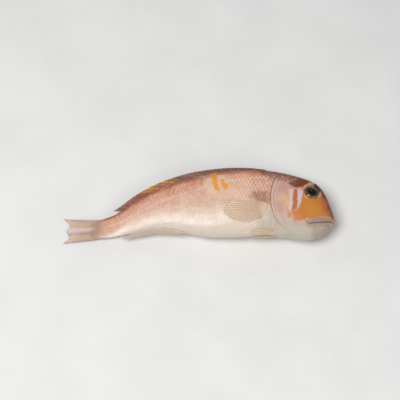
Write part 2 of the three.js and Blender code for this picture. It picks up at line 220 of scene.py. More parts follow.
def over_body(rows, size):
    curve = curve_through(rows)
    return lambda along: curve(np.asarray(along, float) / LENGTH) * size


back_at = over_body(BACK_LINE, DEPTH)
belly_at = over_body(BELLY_LINE, DEPTH)
half_width_at = over_body(WIDTH_LINE, WIDTH)
climb_at = over_body(SPINE_CLIMB, math.radians(1))
lift_at = over_body(FLANK_LIFT, 1)

SPINE_STEP = 0.5
spine_along = np.arange(0, LENGTH + TAIL_FIN_LENGTH + 20, SPINE_STEP)
step_climb = climb_at(spine_along[:-1] + SPINE_STEP / 2)
spine_x = np.concatenate([[0], np.cumsum(-np.cos(step_climb) * SPINE_STEP)])
spine_y = np.concatenate([[0], np.cumsum(np.sin(step_climb) * SPINE_STEP)])


def soft(value, low, high):
    t = np.clip((value - low) / (high - low), 0, 1)
    return t * t * (3 - 2 * t)


def middle_at(along):
    limp = half_width_at(along) - FLATTENING + lift_at(along)
    on_fin = np.clip((along - LENGTH) / TAIL_FIN_LENGTH, 0, 1)
    slack = soft(along / LENGTH, LEVEL_TO, LIMP_FROM)
    trunk = (WIDTH / 2 - FLATTENING) * (1 - slack) + limp * slack
    return trunk * (1 - on_fin) + FIN_MIDDLE * on_fin


def posed(along, up, side):
    """Fish coordinates in millimetres to places in metres, before the shift into the frame."""
    climb = climb_at(along)
    before = np.maximum(-along, 0)
    x = np.interp(along, spine_along, spine_x) + before * np.cos(climb) + up * np.sin(climb)
    y = np.interp(along, spine_along, spine_y) - before * np.sin(climb) + up * np.cos(climb)
    return np.stack([x, y, middle_at(along) + side], -1) / 1000


def skin(along, turn, lift=0.0, high=1.0, wide=1.0):
    """The smooth skin. The turn is 0 on the right flank, 90 degrees at the back."""
    middle = (back_at(along) + belly_at(along)) / 2
    height = (back_at(along) - belly_at(along)) / 2 * high
    width = half_width_at(along) * wide
    width = width * (1 - BLADE_THINNING * soft(along, BLADE_FROM, BLADE_TO))
    out_up = np.sin(turn) / np.maximum(height, 0.5)
    out_side = np.cos(turn) / np.maximum(width, 0.5)
    norm = lift / np.hypot(out_up, out_side)
    fullness = np.sign(np.cos(turn)) * np.abs(np.cos(turn)) ** SECTION_POWER
    return middle + height * np.sin(turn) + out_up * norm, width * fullness + out_side * norm


def frame_shift():
    along, turn = np.meshgrid(np.linspace(0, LENGTH, 300), np.linspace(-math.pi, math.pi, 240))
    up, side = skin(along, turn)
    places = posed(along, up, side).reshape(-1, 3)
    low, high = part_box("body")
    shift = (np.array(low) + np.array(high) - places.min(0) - places.max(0)) / 2
    return shift * (1, 1, 0)


SHIFT = frame_shift()


def placed(along, up, side):
    return posed(along, up, side) + SHIFT


# The skin's grid: rings crowd where the head has its detail. The snout closes in a round cap, and
# the tail stem in a thin blunt one over the root of the tail fin.
AROUND = 236
NOSE_RINGS = 9
TAIL_RINGS = 18
NOSE_CAP = 1.6
TAIL_CAP = 17.0
HEAD_END = 96.0
HEAD_RINGS = 165
TRUNK_RINGS = 222


def ring_stations():
    """Where each ring lies, and its share of the full height and of the full width there."""
    nose = np.linspace(0.02, 1, NOSE_RINGS, endpoint=False) * math.pi / 2
    tail = np.linspace(1, 0.02, TAIL_RINGS) * math.pi / 2
    head = HEAD_END * np.linspace(0, 1, HEAD_RINGS, endpoint=False) ** 1.25
    trunk = np.linspace(HEAD_END, LENGTH, TRUNK_RINGS)[:-1]
    along = [-NOSE_CAP * np.cos(nose), head, trunk, LENGTH + TAIL_CAP * np.cos(tail)]
    full = np.ones(HEAD_RINGS + TRUNK_RINGS - 1)
    high = [np.sin(nose), full, np.sin(tail) ** 0.35]
    wide = [np.sin(nose), full, 1 - np.cos(tail) ** 1.5]
    return np.concatenate(along), np.concatenate(high), np.concatenate(wide)


# The eye, the gill cover and the mouth, in fish coordinates.
EYE_ALONG, EYE_UP, EYE_RADIUS = 37.7, 19.6, 10.0
GILL_MIDDLE, GILL_UP, GILL_REACH, GILL_RISE = 50.0, 2.0, 39.5, 44.0
CHEEK_MIDDLE, CHEEK_UP, CHEEK_REACH, CHEEK_RISE = 32.0, 2.0, 33.0, 34.0
MAXILLA_END = 31.0
NOSTRILS = ((21.5, 23.0, 1.0), (17.8, 20.5, 0.8))
# How far each feature stands out of the smooth skin, or is sunk in it.
SOCKET_DEPTH, SOCKET_RIM = 3.4, 0.9
COVER_STEP, COVER_SLIT = 1.5, 1.1
CHEEK_STEP, CHEEK_SLIT = 0.8, 0.4
UPPER_LIP, LOWER_LIP, CLEFT_DEPTH = 1.1, 0.8, 1.9
NOSTRIL_DEPTH = 1.3
PORE_RISE = 0.12
ROOT_RAY_RISE = 0.28
FLESH_SWELL = 0.45
PECTORAL_HOLLOW = 0.9


def behind_arc(along, up, middle, centre_up, reach, rise):
    """How far a point lies behind an upright arc: below 0 in front of it."""
    share = np.clip(np.abs(up - centre_up) / rise, 0, 0.995)
    power = np.where(up > centre_up, 3.0, 2.0)
    return along - middle - reach * (1 - share ** power) ** (1 / power)


def mouth_at(along):
    return -11.6 - 0.50 * along + 0.001 * along ** 2


def lateral_line_at(along):
    back, belly = back_at(along), belly_at(along)
    share = 0.80 - 0.27 * soft(along, 95, 300)
    return belly + (back - belly) * share


def ridge(distance, width):
    return np.exp(-(distance / width) ** 2)


# Scales lie in staggered rows. Along and across are counted in scales, so a row keeps its count
# while the scales shrink towards the tail.
SCALE_LENGTH = 4.8
SCALE_ROWS = 13.0
TAIL_ROWS = 9.0
SCALE_RELIEF = 0.26
SCALE_REACH = 0.56


def scale_rows(along, girth_share):
    across = SCALE_ROWS + (TAIL_ROWS - SCALE_ROWS) * soft(along, 150, LENGTH)
    count = along / SCALE_LENGTH * (1 + 0.25 * soft(along, 120, LENGTH))
    return count, (girth_share - 0.36) * across


def scale_face(count, row):
    """Like roof tiles, each scale overlaps those behind it. Gives how far inside its own rear
    edge a point is (1 deep inside, 0 at the edge) and how high it stands."""
    best = np.full(count.shape, -2.0)
    across = np.zeros(count.shape)
    for offset in (0.0, 0.5):
        past = (count + offset) % 1.0
        side = (row + offset + 0.5) % 1.0 - 0.5
        beyond = (past / SCALE_REACH) ** 2 + (side / 0.5) ** 2 > 1
        past = np.where(beyond, past - 1, past)
        across = np.where(past > best, side, across)
        best = np.maximum(best, past)
    edge = (np.maximum(best, 0) / SCALE_REACH) ** 2 + (across / 0.5) ** 2
    return np.clip(1 - edge, 0, 1), np.clip(best + 0.5, 0, 1)


def head_relief(along, up, turn):
    """The head's own shape on each flank, as millimetres out of the smooth skin."""
    low_keel = soft(np.degrees(turn), -84, -62)
    high_keel = 1 - soft(np.degrees(turn), 50, 76)
    reach = np.hypot(along - EYE_ALONG, up - EYE_UP)
    out = -SOCKET_DEPTH * (1 - soft(reach, EYE_RADIUS - 2.2, EYE_RADIUS - 0.1))
    out += SOCKET_RIM * ridge(reach - EYE_RADIUS - 1.4, 1.7)
    out -= 0.5 * ridge(reach - EYE_RADIUS - 4.6, 1.3)
    # gill cover: a plate with a free rear edge, and a soft fold before it
    behind = behind_arc(along, up, GILL_MIDDLE, GILL_UP, GILL_REACH, GILL_RISE)
    edge = low_keel * high_keel
    plate = COVER_STEP * np.exp(np.minimum(behind, 0) / 13) * (1 - soft(behind, -0.9, 0.5))
    trench = -COVER_SLIT * soft(behind, -0.7, 0.5) * np.exp(-np.maximum(behind, 0) / 2.6)
    folds = 0.4 * ridge(behind + 5.6, 1.0) + 0.25 * ridge(behind + 15, 2.0)
    out += edge * (plate + trench - folds)
    # cheek plate in front of it, ending in a rounded lower corner
    cheek = behind_arc(along, up, CHEEK_MIDDLE, CHEEK_UP, CHEEK_REACH, CHEEK_RISE)
    cheek_edge = edge * soft(along, 26, 36)
    step = CHEEK_STEP * np.exp(np.minimum(cheek, 0) / 9) * (1 - soft(cheek, -0.9, 0.9))
    out += cheek_edge * (step - CHEEK_SLIT * ridge(cheek - 1.5, 1.2))
    # jaws: a rolled upper lip that widens into the jaw bone, the cleft, and the lower lip
    above = up - mouth_at(along)
    jaw = (1 - soft(along, MAXILLA_END - 2.5, MAXILLA_END + 0.5)) * soft(along, -1, 3)
    broad = 3.4 + 4.2 * soft(along, 6, 28)
    lip = np.clip(1 - ((above - broad / 2) / (broad / 2 + 0.6)) ** 2, 0, 1) ** 0.5
    lower = np.clip(1 - ((above + 2.6) / 2.4) ** 2, 0, 1) ** 0.5
    out += jaw * (UPPER_LIP * lip + LOWER_LIP * lower - CLEFT_DEPTH * ridge(above, 0.75))
    out -= jaw * 0.7 * ridge(above - broad - 1.0, 0.8)
    # nostrils, and the folds of the gill membrane under the throat
    for at, high, wide in NOSTRILS:
        away = np.hypot(along - at, up - high)
        out += 0.35 * ridge(away - 1.8, 0.7) - NOSTRIL_DEPTH * ridge(away, wide)
    throat = soft(along, 22, 34) * (1 - soft(along, 60, 70))
    throat = throat * (1 - soft(np.degrees(turn), -74, -52))
    out += throat * 0.35 * np.sin(up * 1.9 + along * 0.25)
    return out


# The rays of the tail fin show through the thin skin where the tail stem ends.
TAIL_RAYS = 17
TAIL_ROOT, TAIL_SPREAD = 27.0, 37.0


def tail_middle_and_height(along):
    opened = np.clip((along - LENGTH) / TAIL_FIN_LENGTH, 0, 1)
    middle = (back_at(LENGTH) + belly_at(LENGTH)) / 2
    return middle, TAIL_ROOT + (TAIL_SPREAD - TAIL_ROOT) * opened


def ray_swell(u, v, rays, split_from):
    """1 on a ray, 0 on the web. Past split_from each ray forks in two."""
    phase = (u * (rays - 1) + 0.5) % 1.0 - 0.5
    fork = 0.22 * soft(v, split_from, 1.0)
    return np.exp(-((np.abs(phase) - fork) / 0.13) ** 2)


SEAM_GAP = 2e-6


def set_piece(bm, name, material, node_name):
    """Makes a mesh one smooth piece of the fish, in place of its plain node."""
    bmesh.ops.recalc_face_normals(bm, faces=bm.faces[:])
    for polygon in bm.faces:
        polygon.smooth = True
    mesh = bpy.data.meshes.new(name)
    bm.to_mesh(mesh)
    bm.free()
    mesh.materials.append(material)
    piece = bpy.data.objects.new(name, mesh)
    scene.collection.objects.link(piece)
    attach(piece, "root")
    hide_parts(node_name)


def scaled_share(along, up, behind, turn):
    """Where the skin has scales: hardly on the head, and fading out over the rays of the tail."""
    nape = soft(along, 52, 74) * soft(np.degrees(turn), 38, 56)
    scaled = np.maximum(soft(behind, 0.5, 3.5), nape)
    scaled = scaled * (1 - soft(along, LENGTH - 6, LENGTH + 9))
    cover = soft(along, 58, 66) * (1 - soft(behind, -4, -1)) * 0.35
    return np.clip(scaled + cover * soft(up, -30, -12), 0, 1)


def flesh_relief(along, up):
    """Gentle swells of the flesh, and the hollow where the pectoral fin is set."""
    swell = FLESH_SWELL * np.sin(along / 21 + 1.3) * np.sin(up / 13 + along / 60)
    hollow = PECTORAL_HOLLOW * ridge(np.hypot((along - 95) / 7, (up + 24) / 9), 1.0)
    return swell * soft(along, 60, 100) - hollow


def build_body(material):
    stations, highs, wides = ring_stations()
    bm = bmesh.new()
    bmesh.ops.create_grid(bm, x_segments=len(stations) - 1, y_segments=AROUND, size=0.5)
    mesh = bpy.data.meshes.new("skin_grid")
    bm.to_mesh(mesh)
    bm.free()
    grid = np.empty(len(mesh.vertices) * 3)
    mesh.vertices.foreach_get("co", grid)
    u, v = (grid.reshape(-1, 3)[:, :2] + 0.5).T
    ring = np.rint(u * (len(stations) - 1)).astype(int)
    along, high, wide = stations[ring], highs[ring], wides[ring]
    turn = (v - 0.25) * 2 * math.pi
    # one flank serves both: the left repeats the right
    flank_turn = np.arcsin(np.clip(np.sin(turn), -1, 1))
    side_sign = np.where(np.cos(turn) >= 0, 1.0, -1.0)
    up, side = skin(along, flank_turn, 0.0, high, wide)
    girth_share = 0.5 - flank_turn / math.pi
    count, row = scale_rows(along, girth_share)
    face, stand = scale_face(count, row)
    behind = behind_arc(along, up, GILL_MIDDLE, GILL_UP, GILL_REACH, GILL_RISE)
    scaled = scaled_share(along, up, behind, flank_turn)
    pores = np.abs(up - lateral_line_at(along))
    line = soft(along, 92, 104) * (1 - soft(along, LENGTH - 14, LENGTH))
    lift = head_relief(along, up, flank_turn) * soft(along, 0, 5)
    lift += scaled * SCALE_RELIEF * (stand - 0.5) * (0.45 + 0.55 * soft(side, 0, 10)) * wide
    lift += line * PORE_RISE * ridge(pores, 1.2)
    middle, fin_high = tail_middle_and_height(along)
    on_root = soft(along, LENGTH - 8, LENGTH + 8)
    root_ray = ray_swell(0.5 + (up - middle) / fin_high, 0.0, TAIL_RAYS, 0.5)
    lift += ROOT_RAY_RISE * on_root * (root_ray - 0.6) * wide
    lift += flesh_relief(along, up)
    up, side = skin(along, flank_turn, lift, high, wide)
    places = placed(along, up, side * side_sign)
    places[:, 2] = np.maximum(places[:, 2], 0.0)
    mesh.vertices.foreach_set("co", places.ravel())
    masks = {
        "height": (up - belly_at(along)) / (back_at(along) - belly_at(along)),
        "scaled": scaled,
        "face": face,
        "root_rays": on_root * (1 - root_ray),
    }
    masks.update(paint_masks(along, up, behind, pores, line))
    for name, values in masks.items():
        attribute = mesh.attributes.new(name, "FLOAT", "POINT")
        attribute.data.foreach_set("value", np.clip(values, 0, 1).astype(np.float32))
    corners = np.empty(len(mesh.loops), int)
    mesh.loops.foreach_get("vertex_index", corners)
    uv = np.stack([count[corners], row[corners]], -1)
    scale_map = mesh.uv_layers.new(name="scales")
    scale_map.data.foreach_set("uv", uv.astype(np.float32).ravel())
    bm = bmesh.new()
    bm.from_mesh(mesh)
    bpy.data.meshes.remove(mesh)
    bmesh.ops.remove_doubles(bm, verts=bm.verts[:], dist=SEAM_GAP)
    cap_edges = [edge for edge in bm.edges if edge.is_boundary]
    bmesh.ops.holes_fill(bm, edges=cap_edges, sides=0)
    set_piece(bm, "body_skin", material, "body")


# The colours of the fresh fish, laid out region by region, with some painted shade and highlight
# about the head among them. An outline is a few corners in fish coordinates; then come how wide
# its edge fades, the colour, its strength, and how ragged it is.
# From belly (0) to back (1): the fish's own pale belly and red back; the darkest tones along the top
# of the back are partly painted shade.
SKIN_TONES = [
    (0.0, (0.70, 0.62, 0.53)), (0.10, (0.73, 0.65, 0.57)), (0.26, (0.70, 0.58, 0.48)),
    (0.42, (0.70, 0.48, 0.36)), (0.58, (0.74, 0.44, 0.32)), (0.74, (0.73, 0.34, 0.21)),
    (0.84, (0.66, 0.24, 0.12)), (0.90, (0.38, 0.095, 0.036)), (0.96, (0.20, 0.045, 0.018)),
    (1.0, (0.12, 0.035, 0.018)),
]
REGIONS = {
    # the dark red-brown top of the head behind the eye, partly its own colour and partly painted shade
    "crown_and_shade": [
        [(104, 31), (84, 28), (72, 31), (64, 35), (57, 40), (54, 54), (112, 54), (110, 38)],
        6.0, (0.16, 0.065, 0.038), 0.85, 0.5],
    "nape": [
        [(110, 39), (92, 39), (85, 33), (90, 28), (102, 30)],
        4.0, (0.26, 0.05, 0.03), 0.8, 0.7],
    "cover_all": [
        [(91, 0), (90, 28), (78, 33), (64, 28), (56, 10), (54, -16), (58, -30), (78, -31), (89, -14)],
        4.0, (0.60, 0.40, 0.33), 0.9, 0.3],
    "cover_top": [
        [(88, 6), (86, 28), (74, 30), (64, 22), (64, 8), (72, 4)],
        6.0, (0.62, 0.31, 0.26), 0.75, 0.7],
    "cover_peach": [
        [(77, 3), (66, 5), (62, -8), (67, -17), (80, -14)],
        5.0, (0.78, 0.45, 0.25), 0.75, 0.5],
    "cover_pink": [
        [(82, -10), (72, -6), (66, -18), (72, -26), (82, -22)],
        5.0, (0.56, 0.31, 0.24), 0.65, 0.6],
    "throat": [
        [(88, -22), (72, -31), (56, -28), (42, -26), (28, -20), (14, -16), (3, -12), (-8, -20),
         (20, -60), (104, -60), (96, -36)],
        5.0, (0.52, 0.43, 0.35), 0.92, 0.4],
    "chin": [
        [(50, -35), (30, -35), (14, -27), (-4, -36), (20, -60), (90, -60), (74, -40)],
        5.0, (0.54, 0.51, 0.42), 0.75, 0.5],
    "pale_base": [
        [(88, -18), (99, -20), (106, -40), (100, -60), (78, -60), (76, -34)],
        5.0, (0.56, 0.48, 0.39), 0.75, 0.4],
    "cheek": [
        [(6, -2), (13, 8), (22, 22), (31, 12), (42, 8), (48, 13), (49, -8), (57, -20), (50, -29),
         (38, -24), (24, -15), (7, -9)],
        3.2, (0.60, 0.215, 0.042), 1.0, 0.5],
    "cheek_gold": [
        [(47, 8), (34, 6), (22, -2), (20, -12), (32, -14), (44, -4)],
        5.0, (0.62, 0.26, 0.04), 0.55, 0.7],
    "cheek_red": [
        [(60, -14), (60, -25), (50, -28), (39, -24), (44, -18), (53, -14)],
        6.0, (0.64, 0.23, 0.11), 0.9, 0.7],
    "snout_red": [
        [(36, 22), (24, 14), (19, 2), (13, -6), (3, -9), (-8, -4), (4, 30), (30, 48), (38, 40)],
        6.0, (0.46, 0.13, 0.055), 0.8, 0.5],
    "snout": [
        [(28, 26), (18, 15), (12, 4), (6, -4), (2, -8), (-10, -4), (2, 30), (30, 52), (36, 40)],
        5.0, (0.18, 0.05, 0.025), 0.9, 0.5],
    "rust": [
        [(70, 22), (60, 18), (54, 21), (49, 25), (45, 33), (40, 50), (55, 50), (61, 36), (69, 29)],
        4.0, (0.20, 0.042, 0.010), 1.0, 0.7],
    # painted shadow above and in front of the eye socket
    "brow_shadow": [
        [(42, 44), (34, 38), (27, 29), (29, 19), (34, 20), (36, 28)],
        3.2, (0.03, 0.008, 0.004), 0.95, 0.4],
    # the pale upper rear rim of the eye socket: partly its own colour, partly a painted highlight
    "pale_lid_and_highlight": [
        [(50, 17), (45, 26), (41, 30), (35, 42), (41, 42), (46, 32), (50.5, 24)],
        2.0, (0.58, 0.39, 0.28), 0.85, 0.5],
    "eye_pale": [
        [(36, 9), (28.5, 12), (24.5, 18), (26, 24), (29, 22), (29, 17), (34, 12)],
        1.8, (0.78, 0.50, 0.26), 0.6, 0.5],
    "streak_front": [
        [(57, 18), (48.5, 17), (49, 5), (50.5, -13), (53.5, -1)],
        1.2, (0.69, 0.59, 0.58), 0.92, 0.3],
    "red_bar": [
        [(62, 15), (57, 16), (53.5, 0), (51, -12), (56, -17), (59.5, 0)],
        1.4, (0.46, 0.13, 0.045), 0.85, 0.5],
    "streak_rear": [
        [(69, 14), (63, 15), (59.5, -2), (57, -17), (61.5, -16), (64, 0)],
        1.2, (0.79, 0.55, 0.50), 0.9, 0.4],
    "lip": [
        [(-3, -7), (10, -9.5), (20, -13.5), (30, -18), (37, -24.5), (34.5, -28), (24, -23.5),
         (12, -18), (2, -13.5), (-4, -12)],
        2.8, (0.38, 0.23, 0.175), 0.85, 0.35],
    "lower_lip": [
        [(0, -14.5), (12, -19), (24, -24.5), (34, -28.5), (30, -31), (18, -26), (4, -20)],
        2.0, (0.36, 0.25, 0.18), 0.65, 0.4],
    "jaw_front": [
        [(-8, -11), (2, -15), (16, -21), (26, -28), (24, -38), (8, -42), (-10, -30)],
        6.0, (0.33, 0.25, 0.175), 0.6, 0.4],
    "armpit": [
        [(113, 1), (95, 3), (91, -5), (93, -16), (102, -15), (119, -8)],
        7.5, (0.36, 0.12, 0.065), 0.62, 0.9],
    "shoulder": [
        [(94, 31), (87, 33), (84, 10), (88, 4), (92, 10)],
        3.0, (0.66, 0.47, 0.41), 0.7, 0.6],
    "cover_shade": [
        [(101, 36), (99, 25), (84, 23), (68, 26), (64, 34), (82, 39)],
        4.5, (0.27, 0.105, 0.07), 0.75, 0.7],
    "blush": [
        [(138, 33), (108, 34), (112, 22), (124, 18), (140, 22)],
        6.0, (0.82, 0.30, 0.11), 0.8, 0.8],
    "flank_light": [
        [(177, 31), (177, -8), (120, -10), (117, 8), (120, 31)],
        8.0, (0.94, 0.64, 0.46), 0.42, 0.8],
    "bar_pale": [
        [(180, 12), (173, 28), (155, 32), (147, 22), (150, 2), (170, 0)],
        4.0, (0.88, 0.64, 0.46), 0.6, 0.6],
    "bar_rear": [
        [(170.5, 37), (161, 38), (160.5, 20), (159.8, 5), (164.5, 4), (166.5, 14), (168.5, 28)],
        1.6, (0.92, 0.33, 0.002), 0.90, 0.6],
    "bar_top": [
        [(176, 44), (157, 44), (159, 33), (170, 32)],
        4.0, (0.42, 0.15, 0.025), 0.75, 0.6],
    "bar_front": [
        [(157, 23), (152.5, 22), (148, 12), (148.5, 4), (152, 3), (155.5, 14)],
        1.5, (0.92, 0.35, 0.003), 0.88, 0.6],
    "bar_spot": [
        [(161, 9), (157, 9), (158, 1), (161, 1)],
        1.0, (0.80, 0.36, 0.02), 0.7, 0.4],
    "tail_stain": [
        [(345, 14), (306, 9), (296, -2), (308, -11), (345, -11)],
        8.0, (0.68, 0.32, 0.18), 0.65, 0.7],
    "fin_root": [
        [(380, 40), (327, 40), (325, -40), (380, -40)],
        15.0, (0.52, 0.34, 0.26), 0.95, 0.6],
}
# These are laid again over the scale pattern, which then shows only faintly through them.
OVER_SCALES = ("armpit", "bar_rear", "bar_front", "bar_spot", "pores")
OVER_SHARE = 0.62
# Thin marks that follow a curve, some of them painted shade or highlight: colour, strength, how
# ragged.
MARKS = {
    # painted highlight: pale lines along the free edge of the gill cover
    "cover_rim_highlight": ((0.66, 0.52, 0.46), 0.75, 0.3),
    # painted shade: dark lines in the slit behind the gill cover
    "cover_gap_shade": ((0.30, 0.13, 0.09), 0.75, 0.2),
    "gold": ((0.30, 0.16, 0.035), 0.9, 0.3),
    # painted shade: a dark ring where the eyeball sits in its socket
    "eye_rim_shade": ((0.10, 0.05, 0.025), 0.7, 0.0),
    # painted shade: a dark line in the slit of the mouth
    "cleft": ((0.12, 0.07, 0.055), 0.85, 0.1),
    # painted shade: dark in the nostril holes
    "nostril_shade": ((0.05, 0.02, 0.012), 0.85, 0.0),
    "root_rays": ((0.30, 0.20, 0.16), 0.6, 0.3),
    "pores": ((0.84, 0.66, 0.54), 0.35, 0.3),
}


def inside(along, up, outline, fade):
    """1 within an outline, 0 outside it, and between the two over its edge."""
    nearest = np.full(along.shape, 1e9)
    crossings = np.zeros(along.shape, bool)
    for (x0, y0), (x1, y1) in zip(outline, outline[1:] + outline[:1]):
        dx, dy = x1 - x0, y1 - y0
        share = np.clip(((along - x0) * dx + (up - y0) * dy) / (dx * dx + dy * dy), 0, 1)
        nearest = np.minimum(nearest, np.hypot(along - x0 - share * dx, up - y0 - share * dy))
        level = (y0 > up) != (y1 > up)
        crossings ^= level & (along < x0 + (up - y0) * dx / (dy or 1e-9))
    return soft(np.where(crossings, nearest, -nearest), -fade, fade)


def wander(across, down, size):
    """A slow wander between about -1 and 1, for edges that no hand has drawn straight."""
    a, b = across / size, down / size
    slow = np.sin(a + 1.7 * np.sin(0.6 * b + 0.4)) * np.cos(1.1 * b - 0.9 * np.sin(0.7 * a))
    return 0.7 * slow + 0.45 * np.sin(2.3 * a - 1.9 * b + 1.3 * np.sin(1.7 * a + 2.1 * b))


def paint_masks(along, up, behind, pores, line):
    reach = np.hypot(along - EYE_ALONG, up - EYE_UP)
    gold = ridge(reach - EYE_RADIUS - 0.6, 2.2) * (1 - soft(up - 0.3 * along, 2, 9))
    true_along, true_up = along, up
    along = along + 0.9 * wander(along, up, 3.6)
    up = up + 0.9 * wander(up + 31, along - 17, 3.9)
    jaw = soft(along, -2, 1) * (1 - soft(along, MAXILLA_END - 1, MAXILLA_END + 3))
    low_edge = soft(up, -42, -34) * (1 - soft(up, 26, 34))
    masks = {name: inside(along, up, *region[:2]) for name, region in REGIONS.items()}
    for name in ("lip", "lower_lip"):
        masks[name] = inside(true_along, true_up, *REGIONS[name][:2])
    # painted highlight along the gill cover's free edge
    masks["cover_rim_highlight"] = (ridge(behind + 1.2, 1.1) + 0.6 * ridge(behind + 5.5, 0.9)) * low_edge
    # painted shade in the slit behind the gill cover
    masks["cover_gap_shade"] = (ridge(behind - 0.8, 0.9) + 0.5 * ridge(behind + 3.4, 0.6)) * low_edge
    masks["gold"] = gold
    # painted shade where the eyeball sits in its socket
    masks["eye_rim_shade"] = ridge(reach - EYE_RADIUS + 0.6, 1.1)
    # painted shade in the slit of the mouth
    masks["cleft"] = jaw * ridge(true_up - mouth_at(true_along), 0.9)
    # painted shade in the nostril holes
    masks["nostril_shade"] = sum(
        ridge(np.hypot(true_along - at, true_up - high), wide) for at, high, wide in NOSTRILS)
    masks["pores"] = line * ridge(pores, 0.9)
    return masks


def scale_pattern():
    """The same tiling for the colours: Face and Stand as above, and a Tone for each scale."""
    group = bpy.data.node_groups.new("scale_pattern", "ShaderNodeTree")
    group.interface.new_socket("Vector", in_out="INPUT", socket_type="NodeSocketVector")
    for name in ("Face", "Stand", "Tone"):
        group.interface.new_socket(name, in_out="OUTPUT", socket_type="NodeSocketFloat")
    ends = group.nodes.new("NodeGroupInput"), group.nodes.new("NodeGroupOutput")
    layers = []
    for offset in (0.0, 0.5):
        moved = node(group, "VectorMath", {0: ends[0].outputs["Vector"], 1: (offset, offset + 0.5, 0)},
                     operation="ADD")
        cell = node(group, "VectorMath", {0: moved.outputs[0]}, operation="FLOOR")
        local = node(
            group, "VectorMath", {0: moved.outputs[0], 1: cell.outputs[0]}, operation="SUBTRACT")
        parts = node(group, "SeparateXYZ", {0: local.outputs[0]})
        side = math_node(group, "SUBTRACT", parts.outputs["Y"], 0.5)
        squash = node(group, "CombineXYZ", {
            0: math_node(group, "DIVIDE", parts.outputs["X"], SCALE_REACH),
            1: math_node(group, "DIVIDE", side, 0.5),
        })
        reach = node(group, "VectorMath", {0: squash.outputs[0]}, operation="LENGTH")
        beyond = math_node(group, "GREATER_THAN", reach.outputs["Value"], 1.0)
        past = math_node(group, "SUBTRACT", parts.outputs["X"], beyond)
        shift = node(group, "CombineXYZ", {0: beyond, 2: offset * 37})
        own = node(group, "VectorMath", {0: cell.outputs[0], 1: shift.outputs[0]}, operation="ADD")
        tone = node(group, "TexWhiteNoise", {"Vector": own.outputs[0]}, noise_dimensions="3D")
        layers.append((past, side, tone.outputs["Value"]))
    upper = math_node(group, "GREATER_THAN", layers[1][0], layers[0][0])
    past, side, tone = [
        node(group, "Mix", {0: upper, 2: low, 3: high}, data_type="FLOAT").outputs[0]
        for low, high in zip(*layers)]
    rear = math_node(group, "DIVIDE", math_node(group, "MAXIMUM", past, 0.0), SCALE_REACH)
    wide = math_node(group, "DIVIDE", side, 0.5)
    edge = math_node(group, "MULTIPLY_ADD", rear, rear, math_node(group, "MULTIPLY", wide, wide))
    group.links.new(math_node(group, "SUBTRACT", 1.0, edge, clamp=True), ends[1].inputs["Face"])
    group.links.new(math_node(group, "ADD", past, 0.5, clamp=True), ends[1].inputs["Stand"])
    group.links.new(tone, ends[1].inputs["Tone"])
    return group


def painted(tree, name):
    return node(tree, "Attribute", attribute_name=name).outputs["Fac"]


def colour_ramp(tree, value, tones):
    ramp = node(tree, "ValToRGB", {"Fac": value})
    points = ramp.color_ramp.elements
    while len(points) < len(tones):
        points.new(0.5)
    for point, (at, colour) in zip(points, tones):
        point.position = at
        point.color = (*colour, 1)
    return ramp.outputs["Color"]


